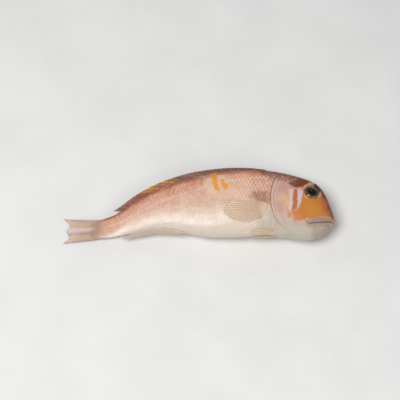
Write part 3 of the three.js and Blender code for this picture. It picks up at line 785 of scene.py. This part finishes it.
def skin_material():
    material, tree, shader = new_material("wet_scaled_skin")
    height_share = painted(tree, "height")
    drift = math_node(tree, "MULTIPLY_ADD", noise(tree, 45.0), 0.10, -0.05)
    colour = colour_ramp(tree, math_node(tree, "ADD", height_share, drift), SKIN_TONES)
    scales = node(tree, "Group", node_tree=scale_pattern())
    tree.links.new(node(tree, "UVMap", uv_map="scales").outputs[0], scales.inputs[0])
    scaled = painted(tree, "scaled")
    # streaks of pigment run along the rows of scales
    rows = node(tree, "Mapping", {0: tree.nodes["UV Map"].outputs[0], 3: (0.16, 1.15, 1)})
    streak = noise(tree, 1.0, 3.0, 0.6, rows.outputs[0])
    on_back = spread(tree, height_share, 0.25, 0.75, 0.25, 1.0)
    deep = math_node(tree, "MULTIPLY", spread(tree, streak, 0.48, 0.68), on_back)
    deep = math_node(tree, "MULTIPLY", deep, scaled)
    colour = blend_colour(tree, math_node(tree, "MULTIPLY", deep, 0.5), colour, (0.66, 0.20, 0.10, 1))
    light = math_node(tree, "MULTIPLY", spread(tree, streak, 0.50, 0.32), scaled)
    colour = blend_colour(tree, math_node(tree, "MULTIPLY", light, 0.4), colour, (0.86, 0.64, 0.52, 1))
    # blotches, fine speckle of pigment and a thin pale film of slime
    deep = math_node(tree, "MULTIPLY", spread(tree, noise(tree, 62.0, 4.0, 0.65), 0.42, 0.62), on_back)
    colour = blend_colour(tree, math_node(tree, "MULTIPLY", deep, 0.22), colour, (0.50, 0.20, 0.12, 1))
    pale = math_node(tree, "MULTIPLY", spread(tree, noise(tree, 230.0, 4.0, 0.7), 0.50, 0.72), 0.22)
    colour = blend_colour(tree, pale, colour, (0.95, 0.82, 0.74, 1))
    broken = math_node(tree, "SUBTRACT", noise(tree, 190.0, 4.0, 0.7), 0.5)
    patches = [(name, *region[2:]) for name, region in REGIONS.items()]
    patches += [(name, *mark) for name, mark in MARKS.items()]

    def lay_on(colour, chosen):
        for name, tint, strength, ragged in chosen:
            mask = painted(tree, name)
            edge = math_node(tree, "MULTIPLY_ADD", broken, 2 * ragged, mask)
            share = spread(tree, edge, 0.08, 0.95, 0.0, strength)
            share = math_node(tree, "MINIMUM", share, math_node(tree, "MULTIPLY", mask, 4.0))
            colour = blend_colour(tree, share, colour, (*tint, 1))
        return colour

    colour = lay_on(colour, patches)
    # each scale is redder at its rear edge, more so on the back, and its middle gets a painted glint,
    # a pale highlight
    rim = spread(tree, scales.outputs["Face"], 0.0, 0.42, 1.0, 0.0)
    rim = math_node(tree, "MULTIPLY", math_node(tree, "MULTIPLY", rim, scaled), on_back)
    colour = blend_colour(tree, math_node(tree, "MULTIPLY", rim, 0.40), colour, (0.52, 0.14, 0.07, 1))
    middle = spread(tree, scales.outputs["Face"], 0.25, 0.8)
    front = spread(tree, scales.outputs["Stand"], 0.15, 0.55)
    middle = math_node(tree, "MULTIPLY", math_node(tree, "MULTIPLY", middle, front), scaled)
    glint_strength = math_node(tree, "MULTIPLY_ADD", scales.outputs["Tone"], 0.55, 0.08)
    # the painted glints die away on the dark back, and are weak on the belly
    glint_fade = math_node(tree, "MULTIPLY", spread(tree, height_share, 0.80, 0.93, 1.0, 0.25),
                     spread(tree, height_share, 0.30, 0.58, 0.5, 1.0))
    glint_strength = math_node(tree, "MULTIPLY", glint_strength, glint_fade)
    painted_glint = math_node(tree, "MULTIPLY", middle, glint_strength)
    colour = blend_colour(tree, painted_glint, colour, (0.96, 0.78, 0.66, 1))
    colour = lay_on(colour, [
        (name, tint, strength * OVER_SHARE, ragged)
        for name, tint, strength, ragged in patches if name in OVER_SCALES])
    dusky = spread(tree, height_share, 0.45, 0.8, 0.0, 0.30)
    speck = math_node(tree, "MULTIPLY", spread(tree, noise(tree, 760.0, 2.0), 0.55, 0.70), dusky)
    colour = blend_colour(tree, speck, colour, (0.30, 0.08, 0.04, 1))
    # small pale specks of painted glint
    gleam = spread(tree, noise(tree, 640.0, 3.0, 0.6), 0.56, 0.72, 0.0, 0.13)
    colour = blend_colour(tree, gleam, colour, (0.92, 0.74, 0.64, 1))
    roughness = math_node(tree, "MULTIPLY_ADD", noise(tree, 240.0), 0.26, 0.24)
    duller = spread(tree, height_share, 0.76, 0.92, 0.0, 0.22)
    roughness = math_node(tree, "ADD", roughness, duller)
    shine = math_node(tree, "MULTIPLY", painted_glint, 0.35)
    relief = math_node(tree, "MULTIPLY", scales.outputs["Stand"], scaled)
    relief = math_node(tree, "MULTIPLY_ADD", noise(tree, 700.0, 3.0), 0.25, relief)
    bump = node(tree, "Bump", {"Strength": 0.45, "Distance": 0.0004, "Height": relief}).outputs[0]
    set_shader(tree, shader, {
        "Base Color": colour, "Roughness": roughness, "Metallic": shine, "Normal": bump,
        "Subsurface Weight": 0.12, "Subsurface Scale": 0.004, "Subsurface Radius": (1.0, 0.45, 0.3),
        "Coat Weight": spread(tree, height_share, 0.72, 0.90, 0.20, 0.06),
        "Coat Roughness": 0.14, "Specular IOR Level": 0.26,
    })
    return material


build_body(skin_material())

# ---- Eyes ----
# Two eyeballs, each a flattened ball in its socket: a wide black pupil, a thin gold ring and a
# dusky iris under a wet clear front.
EYE_TIP_UP = math.radians(9)
EYE_TIP_FORWARD = math.radians(9)
PUPIL_SHARE = 0.56
BALL_DEPTH, LENS_BULGE = 0.55, 0.08


def eye_material():
    material, tree, shader = new_material("wet_eye")
    out = painted(tree, "from_axis")
    centred = math_node(tree, "SUBTRACT", out, 0.025)
    uneven = math_node(tree, "MULTIPLY_ADD", noise(tree, 420.0), 0.05, centred)
    tones = [
        (0.0, (0.003, 0.003, 0.006)), (PUPIL_SHARE, (0.004, 0.003, 0.005)),
        (PUPIL_SHARE + 0.03, (0.09, 0.05, 0.02)), (PUPIL_SHARE + 0.08, (0.03, 0.015, 0.008)),
        (0.72, (0.05, 0.025, 0.012)), (0.80, (0.20, 0.11, 0.025)), (1.0, (0.24, 0.13, 0.03)),
    ]
    colour = colour_ramp(tree, uneven, tones)
    # the upper front of the ring is dusky, the lower rear golden
    on_ring = spread(tree, out, 0.6, 0.7)
    dusk = math_node(tree, "MULTIPLY", spread(tree, painted(tree, "high"), 0.45, 0.8), on_ring)
    dusk = math_node(tree, "MULTIPLY", dusk, 0.8)
    colour = blend_colour(tree, dusk, colour, (0.06, 0.025, 0.012, 1))
    set_shader(tree, shader, {
        "Base Color": colour, "Roughness": 0.16, "Coat Weight": 0.25,
        "Coat Roughness": 0.03, "Specular IOR Level": 0.3,
    })
    return material


def build_eye(name, flank, material):
    corner, far_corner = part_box(name)
    middle = (corner + far_corner) / 2
    across = (far_corner.x - corner.x) / 2
    bm = bmesh.new()
    bmesh.ops.create_uvsphere(bm, u_segments=64, v_segments=40, radius=1.0)
    from_axis = bm.verts.layers.float.new("from_axis")
    high = bm.verts.layers.float.new("high")
    turn = Euler((-flank * EYE_TIP_UP, flank * EYE_TIP_FORWARD, 0), "ZYX").to_matrix()
    for vert in bm.verts:
        out = math.hypot(vert.co.x, vert.co.y)
        vert[from_axis] = out
        vert[high] = 0.5 + 0.5 * (vert.co.y + 0.45 * vert.co.x)
        dome = BALL_DEPTH + LENS_BULGE * math.exp(-(out / 0.45) ** 2)
        vert.co = turn @ Vector((vert.co.x, vert.co.y, vert.co.z * dome)) * across + middle
    set_piece(bm, name + "_ball", material, name)


wet_eye = eye_material()
build_eye("eye_right", 1, wet_eye)
build_eye("eye_left", -1, wet_eye)

# ---- Dorsal fin ----
# A long fin folded down along the back, hard spines in front and soft rays behind, joined by thin
# red skin. Like every fin here it is one closed sheet rooted in the body, that swells at each ray
# and thins between the rays and at its edge.
COLUMNS_PER_RAY = 8
RAY_TAPER = 0.55
JOINT_RISE = 0.04
NUDGE = 1e-3
DORSAL_RAYS = 22
DORSAL_HEIGHT = 9.5
FOLD = math.radians(24)
ROOT_SINK = 0.6
FOLD_OUT = 0.1


def build_fin(at, rays, rows, thickness, web, pleat, split_from, notch):
    bm = bmesh.new()
    # the layers come first, because a new layer makes the vertices found before it invalid
    layers = [bm.verts.layers.float.new(which) for which in ("ray", "reach", "base")]
    columns = COLUMNS_PER_RAY * (rays - 1)
    bmesh.ops.create_grid(bm, x_segments=columns, y_segments=rows, size=0.5)
    turned = bmesh.ops.extrude_face_region(bm, geom=bm.faces[:], use_keep_orig=True)
    far = {item for item in turned["geom"] if isinstance(item, bmesh.types.BMVert)}
    verts = bm.verts[:]
    u = np.array([vert.co.x + 0.5 for vert in verts])
    v = np.array([vert.co.y + 0.5 for vert in verts])
    side = np.array([1.0 if vert in far else -1.0 for vert in verts])
    swell = ray_swell(u, v, rays, split_from)
    edge = v * (1 - notch * (1 - swell) * v ** 2)
    here = placed(*at(u, edge))
    along_u = placed(*at(u + NUDGE, edge)) - here
    along_v = placed(*at(u, edge + NUDGE)) - here
    normal = np.cross(along_u, along_v)
    normal /= np.maximum(np.linalg.norm(normal, axis=1), 1e-12)[:, None]
    thick = (web + (thickness - web) * swell * (1 - RAY_TAPER * v)) / 2000
    wave = pleat * np.cos(2 * math.pi * u * (rays - 1)) * soft(v, 0.1, 0.6) / 1000
    joints = JOINT_RISE * np.sin(v * 150) * swell * soft(v, 0.25, 0.4) / 1000
    places = here + normal * (side * (thick + joints) + wave)[:, None]
    places[:, 2] = np.maximum(places[:, 2], 0.0)
    for vert, place, *values in zip(verts, places, swell, v, u):
        vert.co = place
        for layer, value in zip(layers, values):
            vert[layer] = value
    return bm


def fin_material(name, tones, web, streaks, clear):
    """Rays that change colour from root to edge, a thin part-clear web, and streaks between."""
    material, tree, shader = new_material(name)
    ray, reach, base = [painted(tree, which) for which in ("ray", "reach", "base")]
    drift = math_node(tree, "MULTIPLY_ADD", noise(tree, 120.0), 0.4, -0.2)
    steps = [(i / (len(tones) - 1), tone) for i, tone in enumerate(tones)]
    rays = colour_ramp(tree, math_node(tree, "ADD", reach, drift, clamp=True), steps)
    for low, high, tint, strength in streaks:
        rise = spread(tree, base, low - 0.05, low + 0.05)
        fall = spread(tree, base, high - 0.05, high + 0.05, 1.0, 0.0)
        uneven = spread(tree, noise(tree, 85.0), 0.3, 0.55, 0.35, 1.0)
        share = math_node(tree, "MULTIPLY", math_node(tree, "MULTIPLY", rise, fall), uneven)
        share = math_node(tree, "MULTIPLY", share, strength)
        rays = blend_colour(tree, share, rays, (*tint, 1))
    mottle = spread(tree, noise(tree, 420.0, 3.0), 0.5, 0.7, 0.0, 0.14)
    rays = blend_colour(tree, mottle, rays, (0.34, 0.14, 0.09, 1))
    webbing = blend_colour(tree, 0.55, rays, (*web, 1))
    colour = blend_colour(tree, spread(tree, ray, 0.1, 0.8), webbing, rays)
    on_root = spread(tree, reach, 0.08, 0.3, 1.0, 0.0)
    opaque = math_node(tree, "MAXIMUM", spread(tree, ray, 0.0, 0.9), on_root)
    alpha = math_node(tree, "MULTIPLY_ADD", opaque, clear, 1.0 - clear)
    fine = math_node(tree, "MULTIPLY_ADD", noise(tree, 900.0, 2.0), 0.3, ray)
    bump = node(tree, "Bump", {"Strength": 0.3, "Distance": 0.0003, "Height": fine}).outputs[0]
    set_shader(tree, shader, {
        "Base Color": colour, "Alpha": alpha, "Normal": bump,
        "Roughness": math_node(tree, "MULTIPLY_ADD", noise(tree, 300.0), 0.2, 0.26),
        "Coat Weight": 0.25, "Coat Roughness": 0.14, "Specular IOR Level": 0.35,
    })
    return material


def folded(start, end, line, sign, height):
    """A fin that lies back at a low angle, from one share of the length to another."""
    base = (end - start) * LENGTH

    def at(u, v):
        foot = start * LENGTH + u * base
        rise = height(np.clip(u, 0, 1)) * v
        along = foot + rise / math.tan(FOLD)
        up = line(np.minimum(along, LENGTH)) + sign * (rise - ROOT_SINK)
        return along, up, FOLD_OUT * rise

    return at


def dorsal_height(u):
    return DORSAL_HEIGHT * (0.5 + 0.5 * np.clip((u - 0.02) / 0.4, 0, 1)) * (1 - 0.25 * u ** 4)


dorsal_web = fin_material(
    "dorsal_web", [(0.17, 0.042, 0.02), (0.19, 0.055, 0.028), (0.14, 0.045, 0.028)],
    (0.23, 0.095, 0.058),
    [(0.58, 0.78, (0.80, 0.34, 0.025), 0.9), (0.78, 0.94, (0.48, 0.10, 0.045), 0.75),
     (0.05, 0.34, (0.12, 0.045, 0.03), 0.7), (0.40, 0.52, (0.42, 0.24, 0.17), 0.5)], 0.2)
dorsal = build_fin(
    folded(0.285, 0.885, back_at, 1, dorsal_height), DORSAL_RAYS, rows=22,
    thickness=1.3, web=0.4, pleat=0.25, split_from=0.6, notch=0.05)
set_piece(dorsal, "dorsal_fin_web", dorsal_web, "dorsal_fin")

# ---- Anal fin ----
# The same kind of fin below the tail stem: soft rays in paler pink skin, folded back against the
# belly and rooted in it.
ANAL_RAYS = 14
ANAL_HEIGHT = 8.5


def anal_height(u):
    return ANAL_HEIGHT * (0.6 + 0.4 * np.clip(u / 0.2, 0, 1)) * (1 - 0.2 * u ** 4)


anal_web = fin_material(
    "anal_web", [(0.70, 0.52, 0.43), (0.62, 0.44, 0.36), (0.60, 0.48, 0.42)], (0.78, 0.68, 0.60),
    [(0.2, 0.6, (0.62, 0.48, 0.22), 0.4)], 0.4)
anal = build_fin(
    folded(0.64, 0.89, belly_at, -1, anal_height), ANAL_RAYS, rows=20,
    thickness=1.2, web=0.4, pleat=0.25, split_from=0.5, notch=0.06)
set_piece(anal, "anal_fin_web", anal_web, "anal_fin")

# ---- Tail fin ----
# Half closed, so that its forked rays crowd together, with drawn-out corners. It has pink, yellow
# and dusky streaks, and its rays come out of the thin end of the tail stem.
TAIL_CORNER, TAIL_HOLLOW = 5.0, 4.0
ROOT_INSIDE, ROOT_BOW = 12, 3.5


def tail_at(u, v):
    across = 2 * u - 1
    reach = TAIL_FIN_LENGTH - TAIL_CORNER + TAIL_CORNER * np.abs(across) ** 4
    reach = reach - TAIL_HOLLOW * np.sin(math.pi * np.abs(across)) ** 2
    bow = ROOT_BOW * across ** 2
    along = LENGTH - ROOT_INSIDE - bow + (reach + ROOT_INSIDE + bow) * v
    middle, high = tail_middle_and_height(along)
    up = middle + across * high / 2
    return along, up, 0.35 * np.sin(across * 5 + v * 3) * v


tail_web = fin_material(
    "tail_web", [(0.50, 0.31, 0.23), (0.52, 0.34, 0.27), (0.54, 0.38, 0.31), (0.56, 0.42, 0.36),
                 (0.62, 0.48, 0.43), (0.80, 0.64, 0.59)],
    (0.74, 0.58, 0.51),
    [(0.15, 0.25, (0.76, 0.44, 0.11), 0.6), (0.31, 0.38, (0.16, 0.12, 0.10), 0.7),
     (0.46, 0.61, (0.94, 0.72, 0.64), 0.75), (0.70, 0.82, (0.78, 0.42, 0.10), 0.7),
     (0.90, 1.1, (0.52, 0.17, 0.10), 0.5), (-0.1, 0.07, (0.50, 0.17, 0.10), 0.5)], 0.3)
tail = build_fin(
    tail_at, TAIL_RAYS, rows=52, thickness=1.7, web=0.6, pleat=0.2, split_from=0.42, notch=0.04)
set_piece(tail, "tail_fin_web", tail_web, "tail_fin")

# ---- Pectoral and pelvic fins ----
# Two pairs of pale thin fins that lie along the skin. A pectoral fans out low behind each gill
# cover, and a pelvic folds back on each side of the keel. Each root slants out of the body.
PECTORAL_RAYS, PELVIC_RAYS = 15, 6
PECTORAL_LENGTH, PELVIC_LENGTH = 66, 46
ROOT_DEPTH = 1.6
CLEAR_OF_SKIN = 1.2
EMERGE_OVER = 9
REST_HEIGHT = 0.8


def soft_max(a, b, blend):
    return (a + b + np.hypot(a - b, 2 * blend)) / 2


def paired(flank, foot, turns, slant, length, fan, girth):
    def at(u, v):
        reach = length(np.clip(u, 0, 1)) * v
        bearing = fan[0] + (fan[1] - fan[0]) * u
        along = foot * LENGTH + u * slant + reach * np.cos(bearing)
        turn = turns[0] + (turns[1] - turns[0]) * u - reach * np.sin(bearing) / girth
        emerged = np.clip(reach / EMERGE_OVER, 0, 1)
        up, side = skin(along, turn, -ROOT_DEPTH + (CLEAR_OF_SKIN + ROOT_DEPTH) * emerged)
        resting = REST_HEIGHT - middle_at(along)
        return along, up, soft_max(side * flank, resting, 0.3)

    return at


def pectoral_length(u):
    return PECTORAL_LENGTH * (0.78 + 1.4 * u - 3.1 * u ** 2 + 1.32 * u ** 3)


def pelvic_length(u):
    return PELVIC_LENGTH * (0.8 + 0.75 * u - 0.9 * u * u)


pectoral_web = fin_material(
    "pectoral_web", [(0.70, 0.38, 0.28), (0.78, 0.54, 0.41), (0.80, 0.60, 0.43), (0.80, 0.65, 0.50)],
    (0.84, 0.70, 0.58),
    [(0.2, 0.8, (0.80, 0.54, 0.30), 0.5), (-0.1, 0.05, (0.92, 0.66, 0.56), 0.6)], 0.75)
pelvic_web = fin_material(
    "pelvic_web", [(0.76, 0.58, 0.43), (0.77, 0.59, 0.39), (0.78, 0.64, 0.49)], (0.82, 0.71, 0.58),
    [(0.3, 0.8, (0.78, 0.54, 0.24), 0.4)], 0.5)
for flank, side_name in ((1, "right"), (-1, "left")):
    # the left pectoral, under the fish, is folded nearer to the belly
    fan = (-6, 22) if flank > 0 else (12, 38)
    pectoral_at = paired(
        flank, foot=0.28, turns=np.radians((-14, -38)), slant=3.0,
        length=pectoral_length, fan=np.radians(fan), girth=49.3)
    pectoral = build_fin(
        pectoral_at, PECTORAL_RAYS, rows=34,
        thickness=0.9, web=0.35, pleat=0.15, split_from=0.5, notch=0.03)
    name = "pectoral_fin_" + side_name
    set_piece(pectoral, name + "_web", pectoral_web, name)
    pelvic_at = paired(
        flank, foot=0.21, turns=np.radians((-73, -86)), slant=2.0,
        length=pelvic_length, fan=np.radians((-7, 3)), girth=31.0)
    pelvic = build_fin(
        pelvic_at, PELVIC_RAYS, rows=28,
        thickness=1.4, web=0.35, pleat=0.3, split_from=0.35, notch=0.05)
    name = "pelvic_fin_" + side_name
    set_piece(pelvic, name + "_web", pelvic_web, name)
